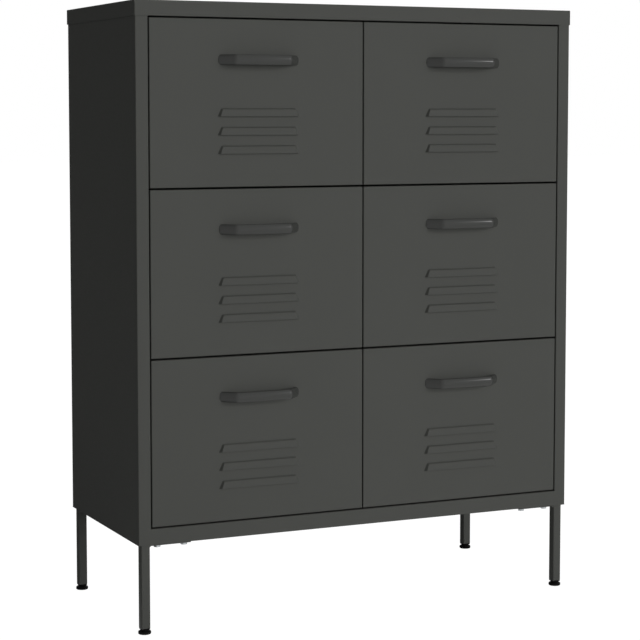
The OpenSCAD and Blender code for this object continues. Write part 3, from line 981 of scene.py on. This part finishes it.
@dataclass
class Drawer:
    """One drawer, modelled at the bottom left and copied to each place. Sizes are in mm.

    Attributes:
        sheet: The thickness of the front's sheet.
        box_sheet: The thickness of the box's sheet.
        box_wall: The thickness that it is drawn with, so that the hem's two layers don't touch.
        box_bend: The radius of the box's folds.
        edge: The depth of the front's folded edge.
        bend: The outer radius of its folds.
        hem: The height of the hem round the box.
        louvres: The number of louvres.
        louvre: The louvres' sizes.
        handle_t: The thickness of the handle's section.
        handle_bend: The radius of its bends, to its middle.
        foot_x: Where the middle of a leg, which leans inwards by 45 degrees, meets the front.
        foot_edge: How far the feet reach from the handle's middle.
        bow: How far the middle of the handle stands further out than its bends.
        crown: The radius of its crowned faces.
        stud_x: The studs' distance from the middle of the front.
        stud_z: Their height above its lower edge.
        stud_radius: Their radius.
        stud_length: Their length.
        stud_chamfer: The chamfer of their ends.
    """

    sheet: float = 0.8
    box_sheet: float = 0.6
    box_wall: float = 0.57
    box_bend: float = 0.54
    edge: float = 14
    bend: float = 1.2
    hem: float = 10
    louvres: int = 3
    louvre: Louvre = field(default_factory=Louvre)
    handle_t: float = 8
    handle_bend: float = 6
    foot_x: float = 65.5
    foot_edge: float = 70
    bow: float = 1.2
    crown: float = 13
    stud_x: float = 160
    stud_z: float = 40
    stud_radius: float = 1.9
    stud_length: float = 6
    stud_chamfer: float = 0.4

    def tops(self, top: float) -> list[float]:
        """The heights of the louvres' upper edges below the top of the front."""
        return [top - self.louvre.drop - i * self.louvre.pitch for i in range(self.louvres)]

    def hood(self, piece: Piece, middle: float, face_y: float, top: float) -> None:
        """Presses one louvre out of the flat sheet.

        Args:
            piece: The front's sheet.
            middle: The middle of the front, along X.
            face_y: The front's face.
            top: The louvre's upper edge.
        """
        lv = self.louvre
        half, low = lv.width / 2, top - lv.height

        def core(m: Vector, n: Vector) -> bool:
            """Picks what lies between the louvre's ends."""
            return abs(m.x - middle) < half - lv.end and low < m.z < top

        for z in (low, top):
            piece.pick(Kind.FACES, lambda m, n: abs(m.x - middle) < half).cut(Z * z, Z)
        for side in (-1, 1):
            for point, normal in lv.tangents():
                place = Vector((middle + side * point.x, 0, low + point.z))
                piece.pick(Kind.FACES, core).cut(place, Vector((side * normal.x, 0, normal.z)))
        piece.pick(Kind.FACES, core).inset(lv.slope).move((0, -lv.rise, 0))
        lip_z = low + lv.slope
        piece.pick(Kind.VERTS, lambda m, n: near(m.y, face_y - lv.rise) and near(m.z, lip_z))
        piece.move((0, 0, -lv.slope))
        lean = math.atan2(lv.proud - lv.rise, lv.height - lv.slope)
        piece.pick(Kind.FACES, lambda m, n: core(m, n) and near(m.y, face_y - lv.rise))
        piece.turn(-math.degrees(lean), "X", Vector((middle, face_y - lv.rise, top - lv.slope)))
        piece.drop(lambda m, n: n.z < -ALIGNED and low - 1 < m.z < top)

    def front(self) -> Piece:
        """Makes the front: a flat sheet with its louvres, folded back all round, and its studs."""
        low, high = node_box("drawer_front_bottom_left")
        face_y = high.y - self.edge
        middle = (low.x + high.x) / 2
        piece = Piece.panel("front", Vector((low.x, face_y, low.z)), Vector((high.x, face_y, high.z)))
        for side in (-1, 1):
            piece.pick_all().cut(X * (middle + side * self.louvre.width / 2), X)
        for top in self.tops(high.z):
            self.hood(piece, middle, face_y, top)
        # The only sharp edges so far are the pressed ones.
        piece.pick(Kind.EDGES, lambda m, d: False)
        bpy.ops.mesh.edges_select_sharp(sharpness=math.radians(20))
        piece.bevel(self.louvre.edge)

        def rim(m: Vector) -> tuple[bool, bool]:
            """Whether a point is on an upright or a level side of the rim."""
            return near(m.x, low.x, high.x), near(m.z, low.z, high.z)

        piece.pick(Kind.EDGES, lambda m, d: any(rim(m))).extrude((0, self.edge, 0))
        piece.pick(Kind.EDGES, lambda m, d: any(rim(m)) and near(m.y, face_y)
                   or all(rim(m)) and abs(d.y) > ALIGNED)
        piece.bevel(self.bend).thicken(self.sheet, even=False)
        foot = Vector((middle, face_y + self.sheet / 2, low.z + self.stud_z))
        return piece.join([self.stud(foot + X * self.stud_x * side) for side in (-1, 1)]).smooth()

    def stud(self, foot: Vector) -> Piece:
        """Makes a weld stud that points to the back from a foot on the front's sheet."""
        piece = Piece.rod("stud", ORIGIN, self.stud_radius, self.stud_length, 20)
        piece.pick(Kind.EDGES, at_height(self.stud_length)).bevel(self.stud_chamfer, 1)
        piece.select()
        piece.obj.rotation_euler.x = math.radians(-90)
        piece.obj.location = foot * MM
        return Piece("stud")

    def box(self) -> Piece:
        """Folds the box: four walls and a floor, slots behind the louvres, and a hem round the top."""
        low, high = node_box("drawer_box_bottom_left")
        front_low, front_high = node_box("drawer_front_bottom_left")
        middle = (front_low.x + front_high.x) / 2
        lv = self.louvre
        reach = lv.width / 2 - lv.end
        slots = [(top - lv.height, top - lv.slot_drop) for top in self.tops(front_high.z)]
        piece = Piece.block("box", low, high).drop(facing(Z))
        for z in [z for slot in slots for z in slot]:
            piece.pick(Kind.FACES, facing(-Y)).cut(Z * z, Z)
        for x in (middle - reach, middle + reach):
            piece.pick(Kind.FACES, facing(-Y)).cut(X * x, X)
        piece.drop(lambda m, n: n.y < -ALIGNED and abs(m.x - middle) < reach
                   and any(a < m.z < b for a, b in slots))
        centre, size = (low + high) / 2, high - low
        turned_in = 4 * self.box_sheet
        piece.pick(Kind.EDGES, at_height(high.z)).extrude(ORIGIN)
        piece.scale((1 - turned_in / size.x, 1 - turned_in / size.y, 1), centre).extrude(-Z * self.hem)

        def rounded(m: Vector, d: Vector) -> bool:
            """Picks the corners, the edges of the floor and the hem's upper edge."""
            corner = near(abs(m.x - centre.x), size.x / 2) and near(abs(m.y - centre.y), size.y / 2)
            return (corner and abs(d.z) > ALIGNED or near(m.z, low.z)
                    or near(m.z, high.z) and max(abs(d.x), abs(d.y)) > LEVEL)

        return piece.pick(Kind.EDGES, rounded).bevel(self.box_bend).thicken(self.box_wall).smooth()

    def handle(self) -> Piece:
        """Bends the handle: an oval bar, swept from foot to foot."""
        low, high = node_box("handle_bottom_left")
        # The section is four arcs: two crowned faces, with their middles offset from its own, and two tips.
        half_t, half_h = self.handle_t / 2, (high.z - low.z) / 2
        offset = self.crown - half_t
        tip = (self.crown ** 2 - offset ** 2 - half_h ** 2) / (2 * (self.crown - half_h))
        rise = half_h - tip
        tip_turn = math.degrees(math.atan2(rise, offset))
        centre = (low.x + high.x) / 2
        foot = Vector((centre - self.foot_x, high.y, (low.z + high.z) / 2))
        piece = Piece.panel("handle", foot - X - Z, foot + X + Z)
        piece.pick_all()
        bpy.ops.mesh.merge(type="COLLAPSE")
        start = Vector((foot.x + offset - self.crown * math.cos(math.radians(tip_turn)), foot.y,
                        foot.z - self.crown * math.sin(math.radians(tip_turn))))
        piece.move(start - foot)
        for side in (1, -1):
            piece.spin(2 * tip_turn, foot + X * offset * side, Y, 8)
            piece.spin(180 - 2 * tip_turn, foot + Z * rise * side, Y, 8)
        # The path goes up a leg, round a bend, along the bowed bar and back the same way.
        at_bar = Vector((0, low.y + half_t + self.bow + self.handle_bend, foot.z))
        at_bar.x = foot.x + foot.y - at_bar.y + math.sqrt(2) * self.handle_bend
        leg = at_bar.x - self.handle_bend / math.sqrt(2) - foot.x + self.handle_t
        reach = centre - at_bar.x
        far = (reach ** 2 + self.bow ** 2) / (2 * self.bow)
        swing = math.degrees(math.asin(reach / far))
        # It starts behind the front, whose plane then cuts its feet.
        piece.merge().pick_all().turn(45, "Z", foot).move((-self.handle_t, self.handle_t, 0))
        piece.extrude((leg, -leg, 0)).spin(45 - swing, at_bar, Z, 8)
        piece.spin(2 * swing, Vector((centre, at_bar.y - self.bow + far, foot.z)), Z, 10)
        piece.spin(45 - swing, at_bar + X * 2 * reach, Z, 8).extrude((leg, leg, 0))
        piece.pick_all().cut(foot, Y, clear=True)
        for side in (-1, 1):
            piece.pick_all().cut(Vector((centre + side * self.foot_edge, 0, 0)), X * side, clear=True)
        return piece.merge().smooth()

    def build(self, paints: Paints, fasteners: FastenerMaker) -> None:
        """Models one drawer, copies it to the six places and dresses what belongs to each."""
        parts = (("drawer_front", "drawer_face", self.front(), Slot.BODY),
                 ("drawer_box", "drawer_tray", self.box(), Slot.BOX),
                 ("handle", "bow_handle", self.handle(), Slot.HANDLE))
        for place, signs in ((f"{row}_{column}", COLUMNS[column]) for row in ROWS for column in COLUMNS):
            body = f"drawer_{place}"
            for node, name, model, slot in parts:
                rise = node_box(f"{node}_{place}")[0].z - node_box(f"{node}_bottom_left")[0].z
                made = model.copy(f"{name}_{place}", Z * rise, signs)
                made.finish(paints, slot, body, f"{node}_{place}")
            fasteners.build(f"drawer_fasteners_{place}", f"drawer_fixings_{place}", body, paints)
            for node in ("drawer_runners", "ball_cages", "cabinet_runners"):
                dress_node(f"{node}_{place}", paints[Slot.RUNNER])
        for _, _, model, _ in parts:
            model.remove()


# ---- Studio ----


@dataclass(frozen=True)
class Panel:
    """A wide soft light far away.

    Attributes:
        power: Its strength in the middle.
        azimuth: How far it stands to the right of the front's normal, in degrees.
        elevation: Its height, in degrees.
        focus: How fast it fades away from its middle.
        flatness: How many times faster it fades up and down than to the sides.
    """

    power: float
    azimuth: float
    elevation: float
    focus: float = 2.0
    flatness: float = 1.0

    def towards(self) -> Vector:
        """The unit vector from the cabinet to its middle."""
        turn, rise = math.radians(self.azimuth), math.radians(self.elevation)
        return Vector((math.sin(turn) * math.cos(rise), -math.cos(turn) * math.cos(rise), math.sin(rise)))

    def facing(self, tree: NodeTree, look: NodeSocket) -> NodeSocket:
        """Adds how far a direction points to its middle.

        Args:
            tree: The node tree.
            look: The direction.

        Returns:
            The cosine of the angle between them, from 1 down to -1.
        """
        stretch = Vector((1, 1, self.flatness))
        scaled = add_node(tree, "ShaderNodeVectorMath", {0: look, 1: stretch}, operation="MULTIPLY")[0]
        unit = add_node(tree, "ShaderNodeVectorMath", {0: scaled}, operation="NORMALIZE")[0]
        middle = (self.towards() * stretch).normalized()
        return add_node(tree, "ShaderNodeVectorMath", {0: unit, 1: middle}, operation="DOT_PRODUCT")["Value"]

    def shine(self, tree: NodeTree, look: NodeSocket, base: NodeSocket | float) -> NodeSocket:
        """Adds its light to a base.

        Args:
            tree: The node tree.
            look: The direction that it is seen in.
            base: What it is added to.

        Returns:
            The sum.
        """
        facing_it = self.facing(tree, look)
        ahead = add_node(tree, "ShaderNodeMath", {0: facing_it, 1: 0.0}, operation="MAXIMUM")[0]
        faded = add_node(tree, "ShaderNodeMath", {0: ahead, 1: self.focus}, operation="POWER")[0]
        return add_node(tree, "ShaderNodeMath", {0: faded, 1: self.power, 2: base},
                        operation="MULTIPLY_ADD")[0]


@dataclass
class Studio:
    """The floor, the walls, the lights and the camera.

    Attributes:
        floor_size: The side of the floor, in mm.
        floor_depth: Its thickness, in mm.
        floor_paint: How much of the light the floor gives back to the cabinet.
        floor_light: The light that it sends up of its own, as a lit table does.
        floor_glow: The strength of the white that is seen of it.
        shadow_share: How much of the floor's white is its lit paint, which shows the shadow.
        eye: The camera's place, in metres.
        turn: How far it is turned to the right, in degrees.
        tilt: How far it looks down, in degrees.
        lens: Its focal length, in mm.
        sensor: Its sensor's width, in mm.
        shift: Its vertical shift.
        fill: The light from all round.
        panels: The soft panels: the key light, one high up behind and a weak one at the right.
        bounce: The key light that the floor in front of the cabinet sends up.
        bounce_height: The height above the floor that its direction is measured from, in metres.
        white: The middle of the white that shows in reflections.
        white_reach: The cosines of the angles from that middle where the white ends and where it is full.
        lamp: The small lamp that puts a highlight on the handles.
        lamp_width: The angle that it fills, in degrees.
    """

    floor_size: float = 60000
    floor_depth: float = 10
    floor_paint: float = 0.38
    floor_light: float = 0.035
    floor_glow: float = 1.25
    shadow_share: float = 0.2
    eye: tuple[float, float, float] = (-1.41674, -3.04605, 0.83386)
    turn: float = 24.8843
    tilt: float = 4.5
    lens: float = 108.607
    sensor: float = 36
    shift: float = -0.0825
    fill: float = 0.06
    panels: tuple[Panel, ...] = (Panel(6.1, 26, 0, 6, 2), Panel(2.0, 140, 40, 6), Panel(0.25, 112, 10, 3))
    bounce: Panel = Panel(0.55, 10, -35, 4)
    bounce_height: float = 0.5
    white: Panel = Panel(1, -10, 0)
    white_reach: tuple[float, float] = (-0.3, 0.5)
    lamp: Panel = Panel(0.5, 41, 18)
    lamp_width: float = 3

    def camera(self) -> None:
        """Sets the camera."""
        data = bpy.data.cameras.new("camera")
        data.lens, data.sensor_width, data.shift_y = self.lens, self.sensor, self.shift
        obj = bpy.data.objects.new("camera", data)
        obj.location = self.eye
        obj.rotation_euler = (math.radians(90 - self.tilt), 0, math.radians(-self.turn))
        bpy.context.scene.collection.objects.link(obj)
        bpy.context.scene.camera = obj

    def seen(self, tree: NodeTree, look: NodeSocket) -> NodeSocket:
        """Adds what tells rays that show the white background from those that only carry light.

        In reflections the studio is white round its key panel and dim on the other side.

        Args:
            tree: The node tree.
            look: The direction that is looked in.

        Returns:
            1 where the white shows, 0 where it doesn't.
        """
        path = add_node(tree, "ShaderNodeLightPath")
        shown = add_node(tree, "ShaderNodeMath", {
            0: path["Is Camera Ray"], 1: path["Is Transmission Ray"]}, operation="MAXIMUM")[0]
        none, full = self.white_reach
        white = add_node(tree, "ShaderNodeMapRange", {
            "Value": self.white.facing(tree, look), "From Min": none, "From Max": full},
            interpolation_type="SMOOTHSTEP")[0]
        return add_node(tree, "ShaderNodeMath", {0: white, 1: path["Is Glossy Ray"], 2: shown},
                        operation="MULTIPLY_ADD")[0]

    def world(self) -> None:
        """Makes the studio's walls: white to the eye and in reflections, dimmer as a light."""
        world = bpy.data.worlds.new("studio")
        world.use_nodes = True
        tree = world.node_tree
        tree.nodes.clear()
        look = add_node(tree, "ShaderNodeTexCoord")["Generated"]
        level = self.fill
        for panel in self.panels:
            level = panel.shine(tree, look, level)
        strength = add_node(tree, "ShaderNodeMix", {
            "Factor": self.seen(tree, look), "A": level, "B": 1.0}, data_type="FLOAT")["Result"]
        background = add_node(tree, "ShaderNodeBackground", {"Color": (1, 1, 1, 1), "Strength": strength})
        add_node(tree, "ShaderNodeOutputWorld", {"Surface": background[0]})
        bpy.context.scene.world = world

    def floor(self) -> None:
        """Lays the floor: white to the eye, with a part that takes the cabinet's shadow."""
        half = self.floor_size / 2
        low = Vector((-half, -half, -self.floor_depth))
        floor = Piece.block("studio_floor", low, Vector((half, half, 0)))
        floor.select()
        material = new_material("white_studio_floor")
        material.cycles.emission_sampling = "NONE"
        tree = material.node_tree
        place = add_node(tree, "ShaderNodeTexCoord")["Object"]
        tone = self.floor_paint
        paint = add_node(tree, "ShaderNodeBsdfDiffuse", {"Color": (tone, tone, tone, 1)})[0]
        ahead = add_node(tree, "ShaderNodeVectorMath", {
            0: place, 1: Z * self.bounce_height}, operation="SUBTRACT")[0]
        sent_up, glow = (
            add_node(tree, "ShaderNodeEmission", {"Color": (1, 1, 1, 1), "Strength": strength})[0]
            for strength in (self.bounce.shine(tree, ahead, self.floor_light), self.floor_glow))
        lighting = add_node(tree, "ShaderNodeAddShader", {0: paint, 1: sent_up})[0]
        shaded = add_node(tree, "ShaderNodeMixShader", {0: self.shadow_share, 1: glow, 2: paint})[0]
        mixed = add_node(tree, "ShaderNodeMixShader", {0: self.seen(tree, place), 1: lighting, 2: shaded})[0]
        add_node(tree, "ShaderNodeOutputMaterial", {"Surface": mixed})
        floor.obj.data.materials.append(material)

    def hang_lamp(self) -> None:
        """Hangs the small lamp."""
        data = bpy.data.lights.new("lamp", "SUN")
        data.energy, data.angle = self.lamp.power, math.radians(self.lamp_width)
        obj = bpy.data.objects.new("lamp", data)
        obj.rotation_euler = self.lamp.towards().to_track_quat("Z", "Y").to_euler()
        bpy.context.scene.collection.objects.link(obj)

    def build(self) -> None:
        """Sets up everything round the cabinet."""
        bpy.context.scene.view_settings.view_transform = "Standard"
        self.camera()
        self.world()
        self.hang_lamp()
        self.floor()


def main() -> None:
    """Builds the cabinet and its studio."""
    logging.basicConfig(level=logging.INFO, format="%(message)s")
    leave_edit()
    paints = {slot: finish.make() for slot, finish in FINISHES.items()}
    fasteners = FastenerMaker()
    Carcass().build(paints)
    Legs().build(paints)
    Drawer().build(paints, fasteners)
    for node, name in (("carcass_fasteners", "carcass_fixings"), ("leg_bolts", "leg_fixings"),
                       ("runner_screws", "runner_fixings")):
        fasteners.build(node, name, "cabinet", paints)
    fasteners.clear()
    Studio().build()


if __name__ == "__main__":
    main()
